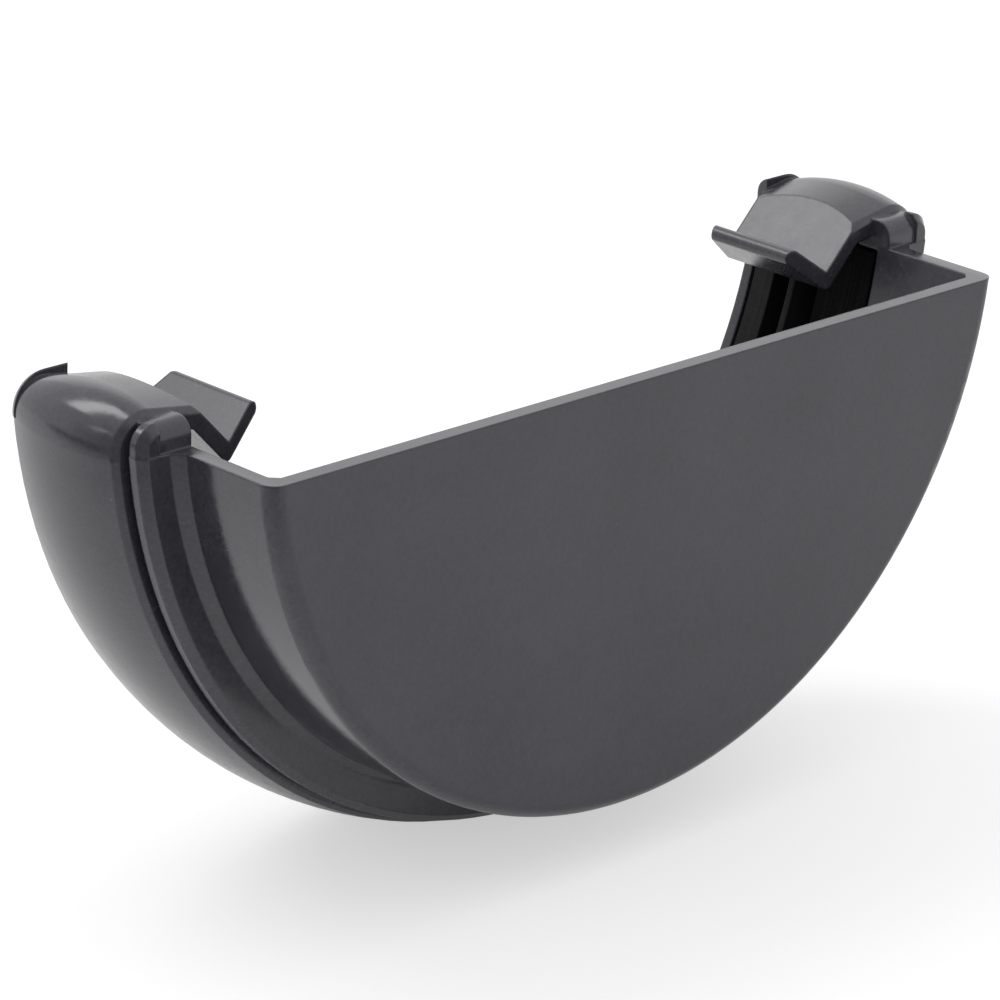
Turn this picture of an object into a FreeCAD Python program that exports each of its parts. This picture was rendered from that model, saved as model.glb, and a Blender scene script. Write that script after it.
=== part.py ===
"""Gutter end cap: an external stop end for a half-round gutter, with its rubber seal.

X runs along the gutter, from the open mouth at x = 0 to the end plate. Y runs across and Z
up. The origin lies on the gutter's axis in the plane of the mouth. Sizes are millimetres.
"""
import FreeCAD, Part
import math
import os
import Sketcher

# Driving sizes
SIZES = {
    # the gutter that the cap closes, and the room round it
    "gutter_width": 112.0,
    "fit_gap": 0.5,
    "rim_drop": 6.1,
    # plate and wall
    "overall_length": 37.5,
    "plate_thickness": 2.1,
    "plate_edge_round": 2.0,
    "plate_root_bevel": 1.0,
    "wall_thickness": 2.1,
    "wall_length": 15.0,
    # stepped flange, with the slot between it and the strap
    "flange_height": 5.2,
    "flange_thickness": 2.5,
    "flange_front_bevel": 0.95,
    "flange_back_bevel": 0.4,
    "flange_foot_bevel": 1.2,
    "wall_lap": 2.1,
    "slot_width": 0.7,
    "slot_depth": 3.6,
    "web_thickness": 2.1,
    # crowned strap that holds the seal
    "crown_height": 7.25,
    "crown_radius": 28.0,
    "crown_place": 11.4,
    "strap_thickness": 2.2,
    "strap_edge_bevel": 0.6,
    "shoulder_wall": 2.0,
    "shoulder_gap": 1.5,
    "mouth_wall": 1.4,
    "mouth_edge_round": 2.0,
    "mouth_gap": 0.2,
    # dome and roof over each rim
    "dome_start": 1.0,
    "dome_radius": 5.4,
    "dome_edge_bevel": 0.7,
    "roof_tilt": 9.0,
    "roof_whole_gap": 0.4,
    # fin at the mouth
    "fin_lap": 0.3,
    "fin_proud": 0.12,
    "fin_round": 4.2,
    "fin_tip_gap": 0.15,
    # bead and bridge that close the slot's upper end
    "bead_round": 2.6,
    "bead_lift": 0.9,
    "parting_step": 0.06,
    "bridge_height": 3.2,
    "bridge_setback": 0.4,
    "bridge_round": 2.0,
    # clip leaf
    "leaf_thickness": 1.9,
    "leaf_start": 3.2,
    "valley_inset": 7.9,
    "valley_drop": 2.1,
    "slope_angle": 46.0,
    "lip_angle": 37.0,
    "lip_length": 5.25,
    "lip_tip_share": 0.52,
    "fold_round": 1.0,
    "lip_taper": 1.4,
    # rubber seal
    "seal_gap": 0.15,
    "seal_base": 3.2,
    "seal_end_gap": 1.0,
    "seal_groove": 0.25,
    "land_width": 3.2,
    "far_land_width": 7.9,
    "land_gap": 0.3,
    "rib_width": 0.9,
    "rib_root": 1.9,
    "rib_squeeze": 0.4,
    # how far a feature runs into the one that it grows from
    "bite": 0.6,
}

doc = FreeCAD.newDocument("gutter_end_cap")
dims = doc.addObject("Spreadsheet::Sheet", "dims")
for row, (alias, size) in enumerate(SIZES.items(), start=1):
    dims.set(f"A{row}", alias)
    dims.set(f"B{row}", str(size))
    dims.setAlias(f"B{row}", alias)
doc.recompute()


def amount(expression):
    """The number that an expression on the sheet's cells stands for."""
    answer = dims.evalExpression(expression)
    return float(getattr(answer, "Value", answer))


# Radii about the gutter's axis
WALL_IN = "(dims.gutter_width / 2 + dims.fit_gap)"
WALL_OUT = f"({WALL_IN} + dims.wall_thickness)"
FLANGE = f"({WALL_OUT} + dims.flange_height)"
SLOT_FLOOR = f"({FLANGE} - dims.slot_depth)"
WEB_IN = f"({SLOT_FLOOR} - dims.web_thickness)"
CROWN = f"({WALL_OUT} + dims.crown_height)"
SHOULDER_IN = f"({WALL_IN} + dims.shoulder_gap)"
MOUTH_IN = "(dims.gutter_width / 2 + dims.mouth_gap)"
CROWN_CENTRE = f"({CROWN} - dims.crown_radius)"

# Stations along the gutter
PLATE_BACK = "(dims.overall_length - dims.plate_thickness)"
RISER = "(dims.overall_length - dims.wall_length)"
SLOT_FAR = f"({RISER} - dims.flange_thickness)"
SLOT_NEAR = f"({SLOT_FAR} - dims.slot_width)"
POCKET_END = f"({SLOT_NEAR} - dims.shoulder_wall)"
WALL_END = f"({RISER} - dims.wall_lap)"

# The strap starts to turn over the rim a little below the rim's level
RIM = "dims.rim_drop"
BITE = "dims.bite"
TURN = f"asin(({RIM} + dims.dome_start) / {CROWN})"
DOME_Y = f"(({CROWN} - dims.dome_radius) * cos({TURN}))"
DOME_Z = f"(-({CROWN} - dims.dome_radius) * sin({TURN}))"
INNER_RIM = f"sqrt({WALL_IN}^2 - {RIM}^2)"
FIN_TIP = f"({INNER_RIM} + dims.fin_tip_gap)"
ROOF_STEP = f"({INNER_RIM} + dims.roof_whole_gap)"
BEAD_Y = f"(sqrt({FLANGE}^2 - {RIM}^2) - dims.bead_round - dims.parting_step)"

# The clip's valley, where the leaf folds, and the two ways that run up from it
VALLEY_Y = f"({INNER_RIM} - dims.valley_inset)"
VALLEY_Z = f"(-1 * {RIM} - dims.valley_drop)"
SLOPE = ("cos(dims.slope_angle)", "sin(dims.slope_angle)")
LIP = ("-1 * cos(dims.lip_angle)", "sin(dims.lip_angle)")


def sag(station, inset="0"):
    """How far the crown has fallen at a station, on a surface inset below the strap's top."""
    radius = f"(dims.crown_radius - {inset})"
    return f"({radius} - sqrt({radius}^2 - ({station} - dims.crown_place)^2))"


# The strap's edge at the mouth is a round that runs smoothly out of the crown
EDGE_REACH = "(dims.crown_radius - dims.mouth_edge_round)"
EDGE_FALL = "(dims.crown_place - dims.mouth_edge_round)"
EDGE_RISE = f"sqrt({EDGE_REACH}^2 - {EDGE_FALL}^2)"
EDGE_CENTRE = f"({CROWN_CENTRE} + {EDGE_RISE})"
EDGE_X = f"(dims.mouth_edge_round * (1 - {EDGE_FALL} / {EDGE_REACH}))"
EDGE_LIFT = f"(dims.mouth_edge_round * {EDGE_RISE} / {EDGE_REACH})"
EDGE_TOP = f"({EDGE_CENTRE} + {EDGE_LIFT})"
DOME_MOUTH = f"({EDGE_X} - {BITE} / 2)"


def sketch_on(body, name, role, lift=None, tilt=None):
    """A sketch on one of the body's origin planes, lifted along it and tilted about its x axis."""
    sketch = body.newObject("Sketcher::SketchObject", name)
    plane = next(item for item in body.Origin.OriginFeatures if item.Role == role)
    sketch.AttachmentSupport = [(plane, "")]
    sketch.MapMode = "FlatFace"
    for axis, expression in (lift or {}).items():
        sketch.setExpression(f"AttachmentOffset.Base.{axis}", expression)
    if tilt:
        turned = FreeCAD.Rotation(FreeCAD.Vector(1, 0, 0), amount(tilt))
        sketch.AttachmentOffset = FreeCAD.Placement(sketch.AttachmentOffset.Base, turned)
        sketch.setExpression("AttachmentOffset.Rotation.Angle", tilt)
    return sketch


def arc_between(start, end, radius, turn):
    """The shorter arc from start to end, with its centre on the left for a turn of 1."""
    chord = end - start
    middle = (start + end) / 2
    left = FreeCAD.Vector(-chord.y, chord.x, 0).normalize()
    to_centre = math.sqrt(max(radius ** 2 - (chord.Length / 2) ** 2, 0.0))
    through = middle - left * turn * (radius - to_centre)
    return Part.ArcOfCircle(start, through, end)


def pin(sketch, geometry, end, place):
    """Ties one end of a line or arc to a place given by two expressions."""
    for kind, axis, expression in (("DistanceX", -2, place[0]), ("DistanceY", -1, place[1])):
        number = amount(expression)
        if abs(number) < 1e-9:
            sketch.addConstraint(Sketcher.Constraint("PointOnObject", geometry, end, axis))
            continue
        index = sketch.addConstraint(Sketcher.Constraint(kind, -1, 1, geometry, end, number))
        sketch.setExpression(f"Constraints[{index}]", expression)


def outline(sketch, corners, flip=1):
    """Draws a closed outline.

    A corner is (x, y), reached by a line, or (x, y, radius, turn), reached by an arc that turns
    left for 1 and right for -1. A flip of -1 draws the mirror image in x.
    """
    sign = "" if flip == 1 else "-1 * "
    places = [(sign + corner[0], corner[1]) for corner in corners]
    points = [FreeCAD.Vector(amount(x), amount(y), 0) for x, y in places]
    heads = []
    tails = []
    for index, corner in enumerate(corners):
        start = points[index - 1]
        end = points[index]
        if len(corner) == 2:
            geometry = sketch.addGeometry(Part.LineSegment(start, end))
        else:
            arc = arc_between(start, end, amount(corner[2]), corner[3] * flip)
            geometry = sketch.addGeometry(arc)
            bend = sketch.addConstraint(Sketcher.Constraint("Radius", geometry, amount(corner[2])))
            sketch.setExpression(f"Constraints[{bend}]", corner[2])
        first = (sketch.getPoint(geometry, 1) - start).Length
        last = (sketch.getPoint(geometry, 2) - start).Length
        forward = first < last
        tails.append((geometry, 1 if forward else 2))
        heads.append((geometry, 2 if forward else 1))
    for index, place in enumerate(places):
        pin(sketch, *heads[index], place)
        following = tails[(index + 1) % len(tails)]
        sketch.addConstraint(Sketcher.Constraint("Coincident", *heads[index], *following))
    return sketch


def below(corners):
    """A section given as (station, radius), drawn below the gutter's axis."""
    return [(corner[0], f"-1 * {corner[1]}", *corner[2:]) for corner in corners]


def revolve(body, name, sketch, angle, midplane=False, reverse=False):
    """Turns a sketch about its own horizontal axis."""
    feature = body.newObject("PartDesign::Revolution", name)
    feature.Profile = sketch
    feature.ReferenceAxis = (sketch, ["H_Axis"])
    feature.setExpression("Angle", angle)
    feature.Midplane = midplane
    feature.Reversed = reverse
    doc.recompute()
    return feature


def extrude(body, kind, name, sketch, length, reverse=False, both_ways=False):
    """A Pad or a Pocket of a sketch."""
    before = body.Shape.Volume
    feature = body.newObject(f"PartDesign::{kind}", name)
    feature.Profile = sketch
    feature.setExpression("Length", length)
    feature.Reversed = reverse
    if both_ways:
        feature.SideType = "Symmetric"
    doc.recompute()
    grew = body.Shape.Volume - before
    if (grew <= 0) == (kind == "Pad"):
        raise RuntimeError(f"{name} changed the volume by {grew:.3f}")
    return feature


def mirror(body, name, features):
    """Repeats features on the other side of the XZ plane."""
    feature = body.newObject("PartDesign::Mirrored", name)
    feature.Originals = features
    plane = next(item for item in body.Origin.OriginFeatures if item.Role == "XZ_Plane")
    feature.MirrorPlane = (plane, [""])
    body.Tip = feature
    doc.recompute()
    return feature


def both_sides(sketch, corners):
    """Draws an outline and its mirror image across the gutter's middle."""
    outline(sketch, corners)
    outline(sketch, corners, flip=-1)
    return sketch


# The moulding
cap = doc.addObject("PartDesign::Body", "end_cap_body")
cap.Label = "end_cap_body"

# Plate, wall, stepped flange and the web under the slot, as one turned section
shell_section = outline(sketch_on(cap, "shell_section", "XZ_Plane"), below([
    ("dims.overall_length", "0"),
    ("dims.overall_length", f"({WALL_OUT} - dims.plate_edge_round)"),
    ("(dims.overall_length - dims.plate_edge_round)", WALL_OUT, "dims.plate_edge_round", -1),
    (f"({RISER} + dims.flange_foot_bevel)", WALL_OUT),
    (RISER, f"({WALL_OUT} + dims.flange_foot_bevel)"),
    (RISER, f"({FLANGE} - dims.flange_front_bevel)"),
    (f"({RISER} - dims.flange_front_bevel)", FLANGE),
    (f"({SLOT_FAR} + dims.flange_back_bevel)", FLANGE),
    (SLOT_FAR, f"({FLANGE} - dims.flange_back_bevel)"),
    (SLOT_FAR, SLOT_FLOOR),
    (f"({SLOT_NEAR} - {BITE})", SLOT_FLOOR),
    (f"({SLOT_NEAR} - {BITE})", WEB_IN),
    (WALL_END, WEB_IN),
    (WALL_END, WALL_IN),
    (f"({PLATE_BACK} - dims.plate_root_bevel)", WALL_IN),
    (PLATE_BACK, f"({WALL_IN} - dims.plate_root_bevel)"),
    (PLATE_BACK, "0"),
]))
shell = revolve(cap, "shell", shell_section, "180 deg", midplane=True)

# The rim is level, a little below the gutter's axis
rim_section = outline(sketch_on(cap, "rim_section", "XZ_Plane"), [
    ("0", f"(-1 * {RIM})"),
    (f"(dims.overall_length + {BITE})", f"(-1 * {RIM})"),
    (f"(dims.overall_length + {BITE})", f"{BITE}"),
    ("0", f"{BITE}"),
])
rim_cut = extrude(cap, "Pocket", "rim_cut", rim_section, f"(4 * {FLANGE})", both_ways=True)

# Crowned strap with its mouth wall and shoulder wall: the pocket for the seal
strap_edge = f"({SLOT_NEAR} - dims.strap_edge_bevel)"
under = "dims.strap_thickness"
strap_section = outline(sketch_on(cap, "strap_section", "XZ_Plane"), below([
    ("0", MOUTH_IN),
    ("dims.mouth_wall", MOUTH_IN),
    ("dims.mouth_wall", f"({CROWN} - {under} - {sag('dims.mouth_wall', under)})"),
    (POCKET_END, f"({CROWN} - {under} - {sag(POCKET_END, under)})", f"(dims.crown_radius - {under})", 1),
    (POCKET_END, SHOULDER_IN),
    (SLOT_NEAR, SHOULDER_IN),
    (SLOT_NEAR, f"({CROWN} - {sag(strap_edge)} - dims.strap_edge_bevel)"),
    (strap_edge, f"({CROWN} - {sag(strap_edge)})"),
    (EDGE_X, EDGE_TOP, "dims.crown_radius", -1),
    ("0", EDGE_CENTRE, "dims.mouth_edge_round", -1),
]))
strap = revolve(cap, "strap", strap_section, f"180 deg - 2 * {TURN}", midplane=True)

# Over each rim the strap turns in a dome, which the fin and the bridge close at its ends
dome_edge = f"({SLOT_NEAR} - dims.dome_edge_bevel)"
crown_edge = f"(dims.dome_radius - {sag(dome_edge)})"
dome_axis = {"y": DOME_Z, "z": f"(-1 * {DOME_Y})"}
dome_section = outline(sketch_on(cap, "dome_section", "XZ_Plane", dome_axis, "dims.roof_tilt"), [
    (DOME_MOUTH, "0"),
    (SLOT_NEAR, "0"),
    (SLOT_NEAR, f"({crown_edge} - dims.dome_edge_bevel)"),
    (dome_edge, crown_edge),
    (DOME_MOUTH, f"(dims.dome_radius - {sag(DOME_MOUTH)})", "dims.crown_radius", 1),
])
dome = revolve(cap, "dome", dome_section, f"90 deg + {TURN} + dims.roof_tilt * 1 deg", reverse=True)


def roof_over(name, mouth_end, outer_y, inner_y):
    """A stretch of the falling roof between two places across the gutter."""
    fall = f"(({DOME_Y} - {outer_y}) * tan(dims.roof_tilt))"
    lift = {"y": f"({DOME_Z} - {fall})", "z": f"(-1 * {outer_y})"}
    section = outline(sketch_on(cap, f"{name}_section", "XZ_Plane", lift, "dims.roof_tilt"), [
        (mouth_end, f"(dims.dome_radius - {under} - {sag(mouth_end, under)})"),
        (SLOT_NEAR, f"(dims.dome_radius - {under} - {sag(SLOT_NEAR, under)})",
         f"(dims.crown_radius - {under})", -1),
        (SLOT_NEAR, f"({crown_edge} - dims.dome_edge_bevel)"),
        (dome_edge, crown_edge),
        (mouth_end, f"(dims.dome_radius - {sag(mouth_end)})", "dims.crown_radius", 1),
    ])
    return extrude(cap, "Pad", name, section, f"(({outer_y} - {inner_y}) / cos(dims.roof_tilt))")


# From the dome the strap runs inwards as a falling roof, first whole and then clear of the mouth
roof = roof_over("roof", DOME_MOUTH, DOME_Y, ROOF_STEP)
leaf_roof = roof_over("leaf_roof", "dims.leaf_start", ROOF_STEP, f"({VALLEY_Y} + {BITE})")

# The flange ends above the rim in a short post with a rounded bead on top
bead_back = f"({SLOT_FAR} + dims.parting_step)"
bead_front = f"({RISER} - dims.parting_step)"
bead_profile = [
    (bead_back, "0"),
    (bead_front, "0"),
    (bead_front, "(dims.bead_round - dims.flange_front_bevel)"),
    (f"({bead_front} - dims.flange_front_bevel)", "dims.bead_round"),
    (f"({bead_back} + dims.flange_back_bevel)", "dims.bead_round"),
    (bead_back, "(dims.bead_round - dims.flange_back_bevel)"),
]
post_base = {"z": f"(-1 * {RIM} - {BITE} / 2)"}
post_corners = [(station, f"({BEAD_Y} + {reach})") for station, reach in bead_profile]
post_section = outline(sketch_on(cap, "post_section", "XY_Plane", post_base), post_corners)
post = extrude(cap, "Pad", "post", post_section, f"(dims.bead_lift + {BITE} / 2)")
bead_axis = {"y": f"(dims.bead_lift - {RIM})", "z": f"(-1 * {BEAD_Y})"}
bead_section = outline(sketch_on(cap, "bead_section", "XZ_Plane", bead_axis), bead_profile)
bead = revolve(cap, "bead", bead_section, "90 deg", reverse=True)

# A bridge closes the slot's upper end and ties the strap to the flange
bridge_face = f"({RISER} - dims.bridge_setback)"
bridge_top = f"(dims.bridge_height - {RIM})"
bridge_foot = f"(-1 * {RIM} - {BITE})"
bridge_plane = {"z": f"(-1 * {BEAD_Y} - {BITE})"}
bridge_section = outline(sketch_on(cap, "bridge_section", "XZ_Plane", bridge_plane), [
    (POCKET_END, bridge_foot),
    (bridge_face, bridge_foot),
    (bridge_face, f"({bridge_top} - dims.bridge_round)"),
    (f"({bridge_face} - dims.bridge_round)", bridge_top, "dims.bridge_round", 1),
    (POCKET_END, bridge_top),
])
bridge = extrude(cap, "Pad", "bridge", bridge_section, f"({BEAD_Y} + {BITE} - {INNER_RIM})")

# The strap's rounded edge stands up past the dome as a thin fin
fin_back = f"({EDGE_X} + dims.fin_lap)"
fin_top = f"({CROWN} - {sag(fin_back)})"
fin_y = f"(({fin_top} - dims.fin_round) * cos({TURN}))"
fin_z = f"(-1 * ({fin_top} - dims.fin_round) * sin({TURN}))"
fin_axis = {"y": fin_z, "z": f"(-1 * {fin_y})"}
fin_height = "(dims.fin_round + dims.fin_proud)"
fin_profile = [
    ("0", "0"),
    (fin_back, "0"),
    (fin_back, fin_height),
    (EDGE_X, f"({fin_height} - {fin_top} + {EDGE_TOP})", "dims.crown_radius", 1),
    ("0", f"({fin_height} - {fin_top} + {EDGE_CENTRE})", "dims.mouth_edge_round", 1),
]
fin_turn_section = outline(sketch_on(cap, "fin_turn_section", "XZ_Plane", fin_axis), fin_profile)
fin_turn = revolve(cap, "fin_turn", fin_turn_section, f"90 deg + {TURN}", reverse=True)
fin_section = outline(sketch_on(cap, "fin_section", "XZ_Plane", fin_axis), fin_profile)
fin = extrude(cap, "Pad", "fin", fin_section, f"({fin_y} - {FIN_TIP})")

far_side = mirror(cap, "far_side", [dome, roof, leaf_roof, post, bead, bridge, fin_turn, fin])


def from_valley(way, along, down=("0", "0"), drop="0"):
    """A place on the clip's profile: along one way from the valley, then down by a drop."""
    return tuple(
        f"({start} + ({along}) * {step} + ({drop}) * {fall})"
        for start, step, fall in zip((VALLEY_Y, VALLEY_Z), way, down)
    )


# The clip's leaf: down from the roof to the valley, then up again to the springy lip
fold = "(dims.slope_angle + dims.lip_angle)"
fold_y = f"({VALLEY_Y} + dims.leaf_thickness * (cos(dims.lip_angle) - cos(dims.slope_angle)) / sin{fold})"
fold_z = f"({VALLEY_Z} - dims.leaf_thickness * (sin(dims.lip_angle) + sin(dims.slope_angle)) / sin{fold})"
fold_run = f"(dims.fold_round * tan({fold} / 2))"
roof_under = f"({DOME_Z} + (dims.dome_radius - dims.strap_thickness) / cos(dims.roof_tilt))"
valley_rise = f"({roof_under} - ({DOME_Y} - {VALLEY_Y}) * tan(dims.roof_tilt) - {VALLEY_Z})"
slope_run = f"({valley_rise} / (tan(dims.slope_angle) - tan(dims.roof_tilt)) + {BITE} / 2)"
slope_y = f"({VALLEY_Y} + {slope_run})"
join_z = f"({VALLEY_Z} + {slope_run} * tan(dims.slope_angle))"
under_lip = ("-1 * sin(dims.lip_angle)", "-1 * cos(dims.lip_angle)")
leaf_section = both_sides(sketch_on(cap, "leaf_section", "YZ_Plane", {"z": "dims.leaf_start"}), [
    (f"({slope_y} + dims.leaf_thickness / sin(dims.slope_angle))", join_z),
    (f"({fold_y} + {fold_run} * {SLOPE[0]})", f"({fold_z} + {fold_run} * {SLOPE[1]})"),
    (f"({fold_y} + {fold_run} * {LIP[0]})", f"({fold_z} + {fold_run} * {LIP[1]})", "dims.fold_round", -1),
    from_valley(LIP, "dims.lip_length", under_lip, "dims.leaf_thickness"),
    (*from_valley(LIP, "dims.lip_length"), "(dims.leaf_thickness * dims.lip_tip_share)", -1),
    (slope_y, join_z),
])
leaf = extrude(cap, "Pad", "leaf", leaf_section, f"({SLOT_NEAR} - dims.leaf_start)")

# One V-shaped cut makes the upper faces of slope and lip, and trims the roof to the slope
notch_section = both_sides(sketch_on(cap, "notch_section", "YZ_Plane"), [
    (VALLEY_Y, VALLEY_Z),
    from_valley(SLOPE, "3 * dims.dome_radius + 2 * dims.valley_drop"),
    from_valley(LIP, "2 * dims.lip_length"),
])
notch = extrude(cap, "Pocket", "notch", notch_section, SLOT_FAR, reverse=True)

# Seen from above the lip narrows towards its tip at both ends
trim_far = f"({VALLEY_Y} - 2 * dims.lip_length * cos(dims.lip_angle))"
trim_depth = "(3 * (dims.valley_drop + dims.leaf_thickness))"
trim_section = sketch_on(cap, "trim_section", "XY_Plane", {"z": f"(-1 * {RIM})"})
for side in ("", "-1 * "):
    outline(trim_section, [
        (f"(dims.leaf_start - {BITE})", f"{side}{VALLEY_Y}"),
        ("dims.leaf_start", f"{side}{VALLEY_Y}"),
        ("(dims.leaf_start + 2 * dims.lip_taper)", f"{side}{trim_far}"),
        (f"(dims.leaf_start - {BITE})", f"{side}{trim_far}"),
    ])
    outline(trim_section, [
        (f"({SLOT_NEAR} + {BITE})", f"{side}{VALLEY_Y}"),
        (SLOT_NEAR, f"{side}{VALLEY_Y}"),
        (f"({SLOT_NEAR} - 2 * dims.lip_taper)", f"{side}{trim_far}"),
        (f"({SLOT_NEAR} + {BITE})", f"{side}{trim_far}"),
    ])
trim = extrude(cap, "Pocket", "trim", trim_section, trim_depth, both_ways=True)

# The rubber seal fills the pocket under the strap: two lands with a thin rib between them, of which
# the far one hooks over the shoulder wall
seal = doc.addObject("PartDesign::Body", "socket_seal")
seal.Label = "socket_seal"

SEAL_START = "(dims.mouth_wall + dims.seal_gap)"
SEAL_END = f"({POCKET_END} - dims.seal_gap)"
SEAL_INSET = "(dims.strap_thickness + dims.seal_gap)"
SEAL_FLOOR = f"({CROWN} - {SEAL_INSET} - dims.seal_base)"
LAND = "(dims.gutter_width / 2 + dims.land_gap)"
RIB = "(dims.gutter_width / 2 - dims.rib_squeeze)"
near_land = f"({SEAL_START} + dims.seal_groove)"
near_land_end = f"({near_land} + dims.land_width)"
hook_end = f"({WALL_END} - dims.seal_gap)"
hook_back = f"({SHOULDER_IN} - dims.seal_gap)"
far_land = f"({hook_end} - dims.far_land_width)"
rib_middle = f"(({near_land_end} + {far_land}) / 2)"

seal_section = outline(sketch_on(seal, "seal_section", "XZ_Plane"), below([
    (SEAL_START, SEAL_FLOOR),
    (near_land, SEAL_FLOOR),
    (near_land, LAND),
    (near_land_end, LAND),
    (near_land_end, SEAL_FLOOR),
    (f"({rib_middle} - dims.rib_root / 2)", SEAL_FLOOR),
    (f"({rib_middle} - dims.rib_width / 2)", RIB),
    (f"({rib_middle} + dims.rib_width / 2)", RIB),
    (f"({rib_middle} + dims.rib_root / 2)", SEAL_FLOOR),
    (far_land, SEAL_FLOOR),
    (far_land, LAND),
    (hook_end, LAND),
    (hook_end, hook_back),
    (SEAL_END, hook_back),
    (SEAL_END, f"({CROWN} - {SEAL_INSET} - {sag(SEAL_END, SEAL_INSET)})"),
    (SEAL_START, f"({CROWN} - {SEAL_INSET} - {sag(SEAL_START, SEAL_INSET)})",
     f"(dims.crown_radius - {SEAL_INSET})", -1),
]))
seal_turn = f"asin(({RIM} + dims.dome_start + dims.seal_end_gap) / {CROWN})"
strip = revolve(seal, "strip", seal_section, f"180 deg - 2 * {seal_turn}", midplane=True)

# Every feature has to stand before anything is written
doc.recompute()
for item in doc.Objects:
    if "Invalid" in item.State or "Error" in item.State:
        raise RuntimeError(f"{item.Name} failed: {item.State}")
os.makedirs("parts", exist_ok=True)
for piece in (cap, seal):
    shape = piece.Shape
    if shape.isNull() or not shape.isValid() or len(shape.Solids) != 1:
        raise RuntimeError(f"{piece.Label} isn't one sound solid")
    shape.exportStep(f"parts/{piece.Label}.step")
    print(piece.Label, round(shape.Volume), "cubic millimetres")
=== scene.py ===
# %% [markdown]
# # A gutter end cap, from bare solids to a finished picture
#
# The object is the cap that closes the end of a half-round rain gutter: one moulding in dark grey
# plastic and one black rubber strip that seals the gutter inside it. The solids come from the CAD
# model, in metres and in their final place. This lesson gives them their finishes, sets a camera
# where the photographer stood, and lights a pale studio.

# %% Load the solids
import bpy
import math
from mathutils import Matrix, Vector


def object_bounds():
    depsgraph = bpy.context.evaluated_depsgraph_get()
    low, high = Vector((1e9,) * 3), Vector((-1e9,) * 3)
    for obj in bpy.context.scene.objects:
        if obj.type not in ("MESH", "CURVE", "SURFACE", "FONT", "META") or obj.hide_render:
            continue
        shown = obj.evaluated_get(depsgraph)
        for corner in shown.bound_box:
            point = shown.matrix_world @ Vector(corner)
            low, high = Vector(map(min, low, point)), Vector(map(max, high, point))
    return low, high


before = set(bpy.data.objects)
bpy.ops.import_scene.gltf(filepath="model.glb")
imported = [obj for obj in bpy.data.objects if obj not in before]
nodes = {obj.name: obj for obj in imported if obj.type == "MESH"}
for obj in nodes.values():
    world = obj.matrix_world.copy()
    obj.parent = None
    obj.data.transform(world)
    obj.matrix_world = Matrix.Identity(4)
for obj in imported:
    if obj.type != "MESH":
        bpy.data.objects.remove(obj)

cad_low, cad_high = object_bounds()
print("pieces:", sorted(nodes), "box in mm:", [round(1000 * side, 1) for side in cad_high - cad_low])

# %% [markdown]
# ## Shader maths that reads like maths
#
# A finish is a web of nodes, and a web that is wired by hand is hard to read. One small class wraps
# an output socket. Adding or multiplying two of them adds the Math node that does it, and numbers may
# stand on either side. Every other node comes from one method: its type, its settings, then what its
# sockets hold.

# %% A socket that can be added and multiplied
class Strand:
    """An output socket. Sums and products of strands become Math nodes in the same material."""

    def __init__(self, socket):
        self.socket = socket

    def node(self, kind, settings=None, sockets=None, out=0):
        """Adds any node to this strand's tree and returns one of its outputs as a strand."""
        made = self.socket.id_data.nodes.new(kind)
        for name, value in (settings or {}).items():
            setattr(made, name, value)
        for name, value in (sockets or {}).items():
            self.feed(made.inputs[name], value)
        return Strand(made.outputs[out])

    def feed(self, target, value):
        """Links a strand to an input socket, or sets the socket to a plain value."""
        if isinstance(value, Strand):
            self.socket.id_data.links.new(value.socket, target)
        else:
            target.default_value = value

    def maths(self, operation, first, second):
        """A Math node on two strands or numbers."""
        return self.node("ShaderNodeMath", {"operation": operation}, {0: first, 1: second})

    def __add__(self, other):
        return self.maths("ADD", self, other)

    def __sub__(self, other):
        return self.maths("SUBTRACT", self, other)

    def __rsub__(self, other):
        return self.maths("SUBTRACT", other, self)

    def __mul__(self, other):
        return self.maths("MULTIPLY", self, other)

    __radd__ = __add__
    __rmul__ = __mul__


print("strand operators: + - *")

# %% [markdown]
# ## Where a point lies on the object
#
# The patterns in a finish need coordinates. The solids stay at the origin, so Object coordinates are
# the CAD's own metres. Multiplied by a thousand they are millimetres, in which grain, mottle and specks
# have sizes that one can measure on the real thing.

# %% Start a finish
def start_finish(name):
    """A new material: its Principled shader, and the place on the object in millimetres."""
    material = bpy.data.materials.new(name)
    material.use_nodes = True
    tree = material.node_tree
    spot = Strand(tree.nodes.new("ShaderNodeTexCoord").outputs["Object"])
    place = spot.node("ShaderNodeVectorMath", {"operation": "SCALE"}, {0: spot, "Scale": 1000.0})
    return material, tree.nodes["Principled BSDF"], place


def noise(place, per_mm, detail=2.0, rough=0.5):
    """Soft random clouds about zero, with so many features to the millimetre."""
    sockets = {"Vector": place, "Scale": per_mm, "Detail": detail, "Roughness": rough}
    return place.node("ShaderNodeTexNoise", None, sockets) - 0.5


def between(strand, low, high):
    """Rises from 0 to 1 as the strand goes from low to high, and stays there."""
    sockets = {"Value": strand, "From Min": low, "From Max": high}
    return strand.node("ShaderNodeMapRange", {"clamp": True}, sockets)


def tint(factor, dark, light):
    """A colour between two, for a factor from 0 to 1."""
    settings = {"data_type": "RGBA", "clamp_factor": True}
    return factor.node("ShaderNodeMix", settings, {0: factor, 6: (*dark, 1.0), 7: (*light, 1.0)}, out=2)


print("helpers: start_finish, noise, between, tint")

# %% [markdown]
# ## The moulding: anthracite plastic
#
# The cap is moulded in dark grey rigid PVC with a hint of violet. A flat colour would look like
# cardboard, so three scales of noise work together: clouds across the plate, a mottle of a few
# millimetres and grain under a millimetre. Two masks tell where a point lies: beyond the wall's
# outside radius, or on the face of the plate.

# %% Places and shades of the plastic
plastic, plastic_shader, place = start_finish("anthracite_plastic")

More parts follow.
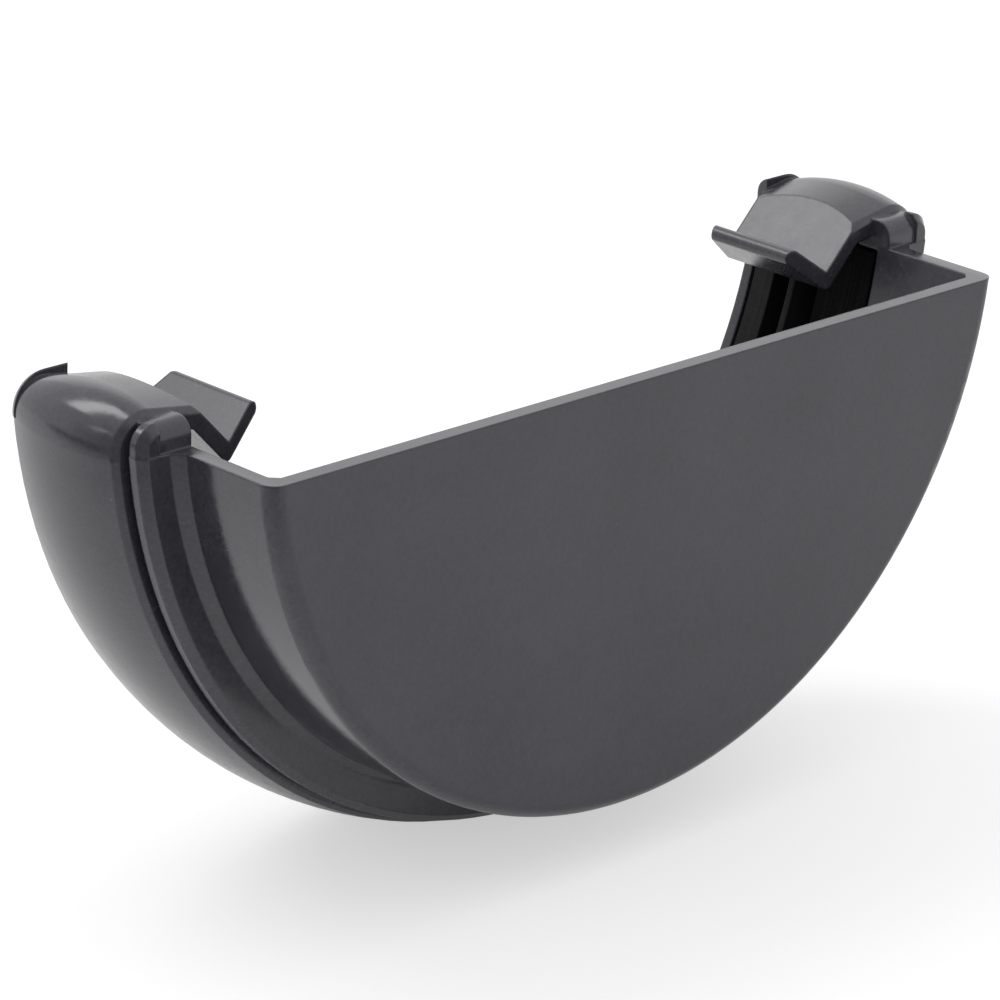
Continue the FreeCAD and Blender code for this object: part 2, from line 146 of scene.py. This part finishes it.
along, sideways, height = (
    place.node("ShaderNodeSeparateXYZ", None, {0: place}, out=axis) for axis in "XYZ"
)
wall_radius = (57.3, 57.8)
plate_face = (37.2, 37.45)
outside = between(sideways * sideways + height * height, wall_radius[0] ** 2, wall_radius[1] ** 2)
on_plate = between(along, *plate_face)

clouds = noise(place, per_mm=0.07, detail=3.0)
mottle = noise(place, per_mm=0.5)
grain = noise(place, per_mm=1.7, detail=3.0, rough=0.65)
shade = 0.5 + 0.9 * clouds + 0.5 * mottle + 1.3 * grain
deep_grey, pale_grey = (0.0205, 0.0190, 0.0275), (0.0495, 0.0472, 0.0575)
body_colour = tint(shade, deep_grey, pale_grey)
print("plastic shade nodes:", len(plastic.node_tree.nodes))

# %% [markdown]
# A Voronoi pattern divides space into cells, each with its own random colour. On the outside of the
# cap a cell's red gives the size of the speck at its middle, and its green picks the few dark specks
# from the pale ones, which are dust.

# %% Specks on the plastic
cells_per_mm = 0.385
largest_speck = 0.085
speck_rim = 0.02
speck_cover = 0.8
dark_cells = (0.80, 0.82)
pale_dust, dark_dust = (0.085, 0.085, 0.085), (0.004, 0.004, 0.004)

voronoi = ("ShaderNodeTexVoronoi", {"feature": "F1"}, {"Vector": place, "Scale": cells_per_mm})
from_middle = place.node(*voronoi)
cell_colour = place.node(*voronoi, out="Color")
separate = ("ShaderNodeSeparateColor", None, {0: cell_colour})
red, green = (cell_colour.node(*separate, out=band) for band in ("Red", "Green"))
dusty = between(outside + on_plate, 0.0, 1.0)
specks = between(red * largest_speck - from_middle, 0.0, speck_rim) * dusty
dust_colour = tint(between(green, *dark_cells), pale_dust, dark_dust)
speckled = body_colour.node(
    "ShaderNodeMix",
    {"data_type": "RGBA"},
    {0: speck_cover * specks, 6: body_colour, 7: dust_colour},
    out=2,
)
speckled.feed(plastic_shader.inputs["Base Color"], speckled)
print("plastic colour nodes:", len(plastic.node_tree.nodes))

# %% [markdown]
# Roughness follows the place: the plate's face is satin, the wall beyond the flange and the domes of
# the clips were polished in the mould. The edges of a moulding are never knife sharp. A Bevel node turns
# the surface's direction near an edge, so each edge catches a thin line of light, and the grain is added
# on top of it as a shallow bump.

# %% Gloss and relief of the plastic
flange_face = (22.3, 22.6)
dome_foot = (-7.25, -7.05)
dome_side = (58.0, 61.0)
edge_round = 0.0004
grain_depth = 0.00008

outward = sideways.node("ShaderNodeMath", {"operation": "ABSOLUTE"}, {0: sideways})
past_flange = between(along, *flange_face) * outside
on_dome = between(height, *dome_foot) * between(outward, *dome_side)
by_place = 0.25 - 0.09 * on_dome - 0.13 * past_flange + 0.20 * on_plate
roughness = by_place + 0.12 * grain + 0.10 * mottle + 0.06 * clouds
roughness.feed(plastic_shader.inputs["Roughness"], roughness)

soft_edge = place.node("ShaderNodeBevel", {"samples": 6}, {"Radius": edge_round})
relief = grain.node(
    "ShaderNodeBump",
    None,
    {"Strength": 0.10, "Distance": grain_depth, "Height": grain, "Normal": soft_edge},
)
relief.feed(plastic_shader.inputs["Normal"], relief)
plastic_shader.inputs["IOR"].default_value = 1.55
print("plastic nodes:", len(plastic.node_tree.nodes))

# %% [markdown]
# ## The seal: black rubber
#
# The strip inside the strap is extruded rubber, nearly black and with little sheen. A pale bloom, as old
# rubber has, lies over the strip, with fine lines along the way it was drawn. The half that lies deeper
# in
# the cap is painted darker: painted shade, as under the overhanging clips.

# %% Rubber finish
# Millimetres along the seal over which the painted shade on the deeper half fades in.
painted_shade_half = (9.6, 12.3)
black, bloom_grey = (0.001, 0.001, 0.001), (0.026, 0.026, 0.0265)
rubber_edge_round = 0.0003
skin_depth = 0.00006

rubber, rubber_shader, spot = start_finish("black_rubber")
bloom = noise(spot, per_mm=0.12, detail=3.0)
skin = noise(spot, per_mm=2.4)
seal_along = spot.node("ShaderNodeSeparateXYZ", None, {0: spot}, out="X")
drawn = noise(spot.node("ShaderNodeCombineXYZ", None, {"X": seal_along}), per_mm=1.6)
# The last term is painted shade: it darkens the half that lies deeper in the cap.
pale = 0.80 + bloom + 0.6 * skin + 0.8 * drawn - 0.75 * between(seal_along, *painted_shade_half)
rubber_colour = tint(pale, black, bloom_grey)
rubber_colour.feed(rubber_shader.inputs["Base Color"], rubber_colour)
dullness = 0.62 + 0.15 * bloom + 0.12 * skin
dullness.feed(rubber_shader.inputs["Roughness"], dullness)

rubber_edge = spot.node("ShaderNodeBevel", {"samples": 6}, {"Radius": rubber_edge_round})
rubber_relief = skin.node(
    "ShaderNodeBump",
    None,
    {"Strength": 0.15, "Distance": skin_depth, "Height": skin, "Normal": rubber_edge},
)
rubber_relief.feed(rubber_shader.inputs["Normal"], rubber_relief)
rubber_shader.inputs["Specular IOR Level"].default_value = 0.06
print("rubber nodes:", len(rubber.node_tree.nodes))

# %% [markdown]
# ## Finishes onto the solids
#
# The CAD solids keep their own meshes: only what is in their material slots changes.

# %% Assign the finishes
for name, finish in (("end_cap_body", plastic), ("socket_seal", rubber)):
    slots = nodes[name].data.materials
    slots.clear()
    slots.append(finish)
    print(name, "->", finish.name)

# %% [markdown]
# ## A pale floor that keeps the shadow
#
# Product photos are taken on white. A floor that only glowed would lose the shadow, so the floor is lit
# like anything else, and what it shows depends on the ray that asks. The camera sees a grey with a
# little glow that adds up to white, with a pale shadow. Light that bounces off it meets a plain grey and
# doesn't wash out the cap. Reflections in the cap see it white, but dim towards the left front, the side
# of the room that is unlit in the photo.

# %% Floor
reach = 3.0
floor_mesh = bpy.data.meshes.new("studio_floor")
corners = [(-reach, -reach, 0.0), (reach, -reach, 0.0), (reach, reach, 0.0), (-reach, reach, 0.0)]
floor_mesh.from_pydata(corners, [], [(0, 1, 2, 3)])
floor = bpy.data.objects.new("studio_floor", floor_mesh)
floor.location.z = cad_low.z
bpy.context.scene.collection.objects.link(floor)
print("floor at z in mm:", round(1000 * floor.location.z, 2))

# %% Which ray asks, and from which side of the room
dim_side = (0.50, -0.87, 0.0)


def rays(tree, *kinds):
    """1 for rays of the named kinds, and 0 for all others."""
    path = tree.nodes.new("ShaderNodeLightPath")
    total = Strand(path.outputs[f"Is {kinds[0]} Ray"])
    for kind in kinds[1:]:
        total = total + Strand(path.outputs[f"Is {kind} Ray"])
    return between(total, 0.0, 1.0)


def towards_dim_side(vector):
    """How far a point or a direction reaches to the unlit side of the room."""
    settings = {"operation": "DOT_PRODUCT"}
    return vector.node("ShaderNodeVectorMath", settings, {0: vector, 1: dim_side}, out="Value")


print("the room is dim towards", dim_side)

# %% Floor paper
bounce_grey, camera_grey, mirror_grey, dim_grey = 0.60, 0.52, 0.90, 0.20
camera_glow, mirror_glow = 0.52, 0.10
dim_floor = (85.0, 210.0)

paper, paper_shader, floor_place = start_finish("studio_paper")
viewed = rays(paper.node_tree, "Camera", "Transmission")
mirrored = rays(paper.node_tree, "Glossy")
dim = mirrored * between(towards_dim_side(floor_place), *dim_floor)
lit_paper = bounce_grey - (bounce_grey - camera_grey) * viewed + (mirror_grey - bounce_grey) * mirrored
paper_colour = lit_paper - (mirror_grey - dim_grey) * dim
paper_glow = camera_glow * viewed + mirror_glow * mirrored - mirror_glow * dim
paper_colour.feed(paper_shader.inputs["Base Color"], paper_colour)
paper_glow.feed(paper_shader.inputs["Emission Color"], paper_glow)
paper_shader.inputs["Emission Strength"].default_value = 1.0
paper_shader.inputs["Roughness"].default_value = 1.0
paper_shader.inputs["Specular IOR Level"].default_value = 0.0
floor_mesh.materials.append(paper)
print("paper nodes:", len(paper.node_tree.nodes))

# %% [markdown]
# ## A white room with one dim side
#
# The cap is dark and shiny, so most of what one sees on it is a reflection. A white room gives the plate
# and the wall their even tone. In reflections the left front of the room is dim, which makes the bands
# of the flange and the beads as dark as in the photo.

# %% World
bounce_sky, seen_sky, dim_sky = 0.95, 1.0, 0.25
dim_directions = (0.28, 0.66)

world = bpy.data.worlds.new("studio_world")
bpy.context.scene.world = world
world.use_nodes = True
sky = world.node_tree.nodes["Background"]
sky_viewed = rays(world.node_tree, "Camera", "Glossy", "Transmission")
sky_mirrored = rays(world.node_tree, "Glossy")
direction = Strand(world.node_tree.nodes.new("ShaderNodeTexCoord").outputs["Generated"])
sky_dim = sky_mirrored * between(towards_dim_side(direction), *dim_directions)
sky_level = bounce_sky + (seen_sky - bounce_sky) * sky_viewed - (seen_sky - dim_sky) * sky_dim
sky_level.feed(sky.inputs["Color"], sky_level)
print("world nodes:", len(world.node_tree.nodes))

# %% [markdown]
# Three softboxes shape the rest: a long strip behind the cap lights the leaf and the ridge of the dome,
# a small one kicks the dome's flank, and a weak broad one lifts the top faces. A brightness of 1 is the
# white of the room, so a lamp's power follows from its brightness and its area.

# %% Softboxes
def stand(middle, right, up, back):
    """A place and three axes as one matrix. Lamps and cameras look along minus the third axis."""
    return Matrix.Translation(middle) @ Matrix((right, up, back)).transposed().to_4x4()


def hang_softbox(name, middle, long_side, length, width, brightness):
    """A rectangular lamp that faces the cap, with its long side along a direction."""
    data = bpy.data.lights.new(name, "AREA")
    data.shape = "RECTANGLE"
    data.size = length
    data.size_y = width
    data.energy = brightness * math.pi * length * width
    facing = middle.normalized()
    side = (long_side - facing * long_side.dot(facing)).normalized()
    lamp = bpy.data.objects.new(name, data)
    lamp.matrix_world = stand(middle, side, facing.cross(side), facing)
    bpy.context.scene.collection.objects.link(lamp)
    print(name, "stands", round(math.degrees(math.asin(facing.z)), 1), "degrees up")


far = 3.0
strip_middle, strip_way = far * Vector((-0.562, -0.196, 0.804)), Vector((0.23, 0.34, 0.24))
kick_middle, kick_way = far * Vector((-0.42, -0.77, 0.48)), Vector((0.3, 0.1, 0.4))
back_middle, back_way = Vector((-0.70, 0.70, 0.42)), Vector((0.70, 0.70, 0.0))
hang_softbox("strip_lamp", strip_middle, strip_way, length=1.9, width=0.8, brightness=4.8)
hang_softbox("kick_lamp", kick_middle, kick_way, length=0.5, width=0.2, brightness=3.0)
hang_softbox("back_lamp", back_middle, back_way, length=0.9, width=0.5, brightness=0.35)

# %% [markdown]
# ## The photographer's camera
#
# A pinhole camera was fitted to the edges of the plate and wall in the photo. It stands about half a
# metre away, at 45 degrees to the plate and 20 degrees above it, with a long lens and a slight roll.
# Its aim is given from the middle of the plate's upper edge, sideways and down in the picture.

# %% Camera
turn, rise, roll = (math.radians(angle) for angle in (45.008, 20.513, 2.156))
rim_level = -0.006115
aim_left, aim_down = 0.017895, 0.013934
distance = 0.562361

back = Vector((math.sin(turn) * math.cos(rise), -math.cos(turn) * math.cos(rise), math.sin(rise)))
level_right = Vector((math.cos(turn), math.sin(turn), 0.0))
level_up = back.cross(level_right)
right = level_right * math.cos(roll) + level_up * math.sin(roll)
up = level_up * math.cos(roll) - level_right * math.sin(roll)
aim = Vector((cad_high.x, 0.0, rim_level)) - right * aim_left - up * aim_down

camera_data = bpy.data.cameras.new("photo_camera")
camera_data.lens = 180.0
camera_data.sensor_width = 36.0
camera_data.clip_start = 0.01
camera = bpy.data.objects.new("photo_camera", camera_data)
camera.matrix_world = stand(aim + back * distance, right, up, back)
bpy.context.scene.collection.objects.link(camera)
bpy.context.scene.camera = camera
bpy.context.scene.view_settings.view_transform = "Standard"
print("camera at", [round(value, 3) for value in camera.matrix_world.translation])
